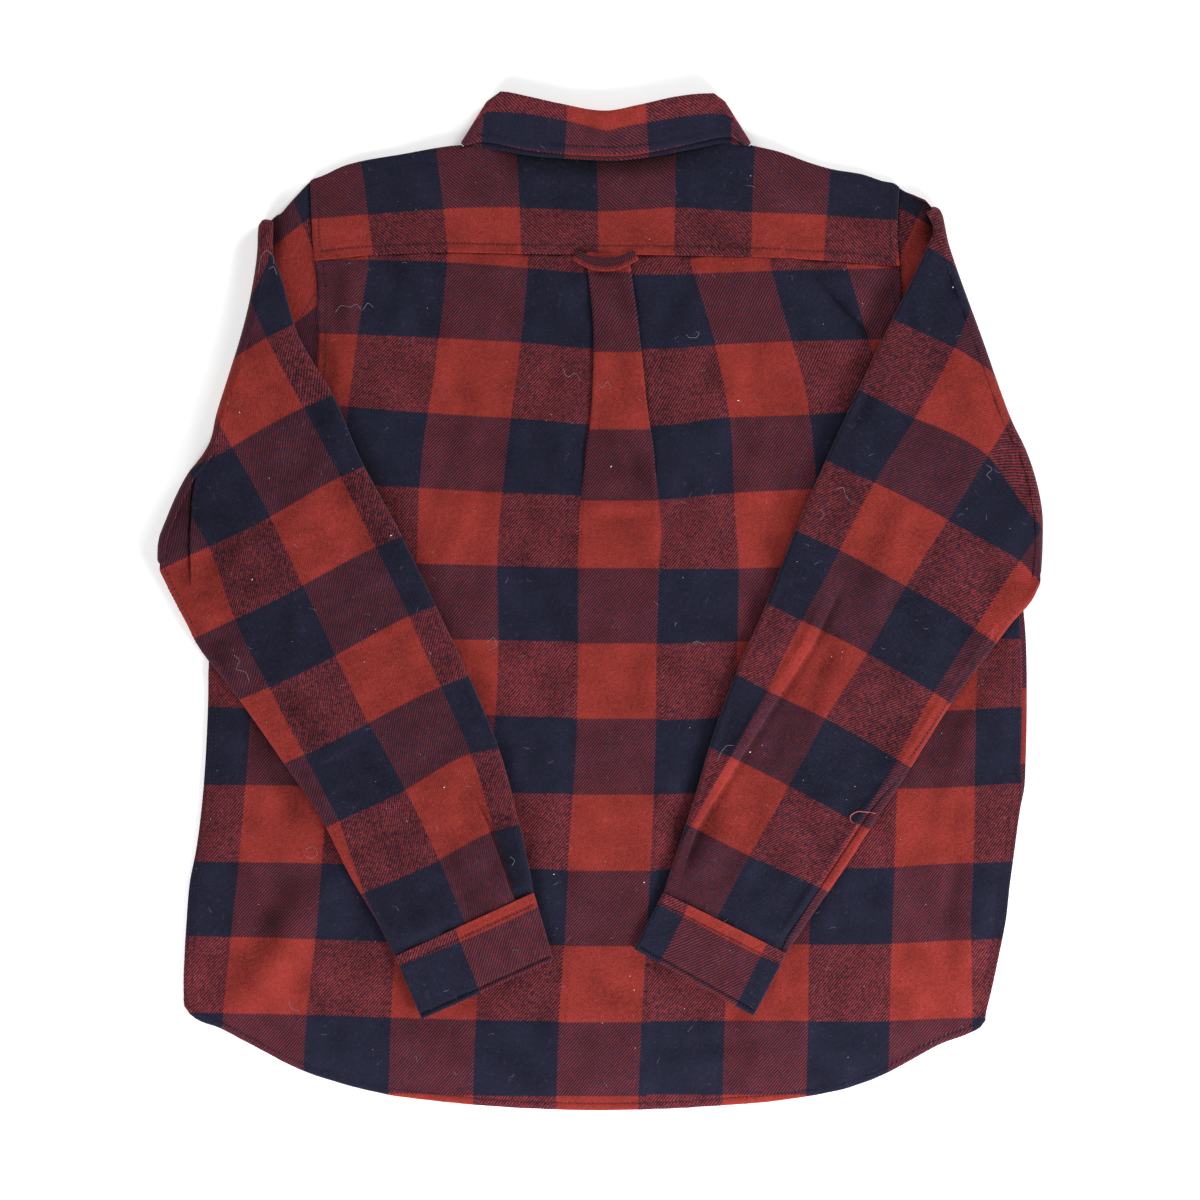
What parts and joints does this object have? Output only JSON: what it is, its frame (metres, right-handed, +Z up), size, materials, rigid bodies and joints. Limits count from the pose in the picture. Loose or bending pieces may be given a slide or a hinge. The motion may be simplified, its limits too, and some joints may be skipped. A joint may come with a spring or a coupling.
{
  "type": "flannel shirt",
  "caption": "Long-sleeved check flannel shirt, buttoned and laid face down, both sleeves folded in over its back, with yoke, box pleat and hanging loop.",
  "frame": {"origin": "middle of the bounding box at the surface the shirt lies on", "axes": "+Z up from the surface, +Y towards the collar, +X towards the wearer's right sleeve"},
  "size_m": [0.7184, 0.824, 0.0127],
  "materials": {
    "flannel": "brushed cotton twill, navy and brick red check, matt and softly napped",
    "flannel_yoke": "the same brushed cotton twill cut on the cross grain, fused double, matt and softly napped",
    "button": "dark resin button, satin polish"
  },
  "bodies": {
    "root": {"back": "flannel", "yoke": "flannel_yoke", "front_left": "flannel", "front_right": "flannel", "collar_fall": "flannel_yoke", "collar_stand": "flannel_yoke", "sleeve_left": "flannel", "sleeve_right": "flannel", "cuff_left": "flannel", "cuff_right": "flannel", "locker_loop": "flannel", "button_collar": "button", "button_front_1": "button", "button_front_2": "button", "button_front_3": "button", "button_front_4": "button", "button_front_5": "button", "button_front_6": "button", "button_cuff_left": "button", "button_cuff_right": "button"}
  },
  "joints": []
}
